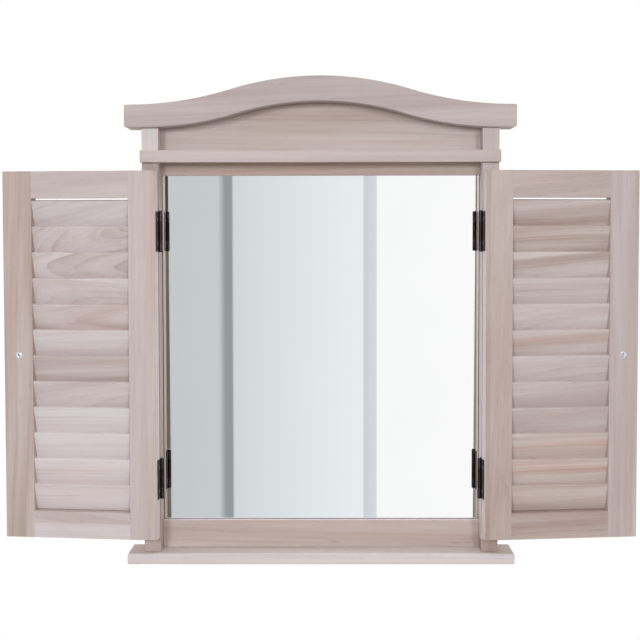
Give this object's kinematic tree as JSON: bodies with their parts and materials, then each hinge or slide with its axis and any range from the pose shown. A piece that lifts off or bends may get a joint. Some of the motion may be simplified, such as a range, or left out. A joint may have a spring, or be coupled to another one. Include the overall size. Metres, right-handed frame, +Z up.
{
  "type": "shutter mirror",
  "caption": "Wall mirror framed as a window, with an arched crown, a sill and hinged louvred wooden shutters that swing open past flat.",
  "frame": {"origin": "midway between the two hanger holes, on the plane of the back that lies on the wall", "axes": "+X to the right along the wall, +Y into the wall, +Z up; the shutters are drawn open, 8 degrees past flat"},
  "size_m": [0.6876, 0.0605, 0.5273],
  "materials": {
    "frame_wood": "bare sanded pale wood with fine grain, matt",
    "slat_wood": "bare sanded pale wood, tone varies from slat to slat, matt",
    "dowel_wood": "bare hardwood dowel",
    "mirror": "silvered flat glass, polished",
    "hardboard": "brown hardboard, smooth",
    "hinge_iron": "black-brown satin coating",
    "zinc_steel": "zinc-plated steel, satin"
  },
  "bodies": {
    "frame": {"left_post": "frame_wood", "right_post": "frame_wood", "crown": "frame_wood", "pediment_panel": "frame_wood", "cornice": "frame_wood", "cornice_pins": "dowel_wood", "upper_rail": "frame_wood", "lower_rail": "frame_wood", "rail_dowels": "dowel_wood", "sill": "frame_wood", "mirror_glass": "mirror", "backing_board": "hardboard", "glazing_points": "zinc_steel", "frame_screws": "zinc_steel", "hanger_plates": "zinc_steel", "hanger_screws": "zinc_steel", "left_frame_leaves": "hinge_iron", "right_frame_leaves": "hinge_iron", "hinge_pins": "hinge_iron", "frame_leaf_screws": "hinge_iron"},
    "left_shutter": {"left_hinge_stile": "frame_wood", "left_meeting_stile": "frame_wood", "left_top_rail": "frame_wood", "left_bottom_rail": "frame_wood", "left_knob": "frame_wood", "left_knob_screw": "zinc_steel", "left_shutter_leaves": "hinge_iron", "left_leaf_screws": "hinge_iron", "left_slat_01": "slat_wood", "left_slat_02": "slat_wood", "left_slat_03": "slat_wood", "left_slat_04": "slat_wood", "left_slat_05": "slat_wood", "left_slat_06": "slat_wood", "left_slat_07": "slat_wood", "left_slat_08": "slat_wood", "left_slat_09": "slat_wood", "left_slat_10": "slat_wood", "left_slat_11": "slat_wood", "left_slat_12": "slat_wood"},
    "right_shutter": {"right_hinge_stile": "frame_wood", "right_meeting_stile": "frame_wood", "right_top_rail": "frame_wood", "right_bottom_rail": "frame_wood", "right_knob": "frame_wood", "right_knob_screw": "zinc_steel", "right_shutter_leaves": "hinge_iron", "right_leaf_screws": "hinge_iron", "right_slat_01": "slat_wood", "right_slat_02": "slat_wood", "right_slat_03": "slat_wood", "right_slat_04": "slat_wood", "right_slat_05": "slat_wood", "right_slat_06": "slat_wood", "right_slat_07": "slat_wood", "right_slat_08": "slat_wood", "right_slat_09": "slat_wood", "right_slat_10": "slat_wood", "right_slat_11": "slat_wood", "right_slat_12": "slat_wood"}
  },
  "joints": [
    {"name": "left_shutter_hinge", "type": "hinge", "parent": "frame", "child": "left_shutter", "pos_m": [-0.1722, -0.0425, 0], "axis": [0, 0, 1], "range_deg": [-1, 188]},
    {"name": "right_shutter_hinge", "type": "hinge", "parent": "frame", "child": "right_shutter", "pos_m": [0.1722, -0.0425, 0], "axis": [0, 0, -1], "range_deg": [-1, 188]}
  ]
}
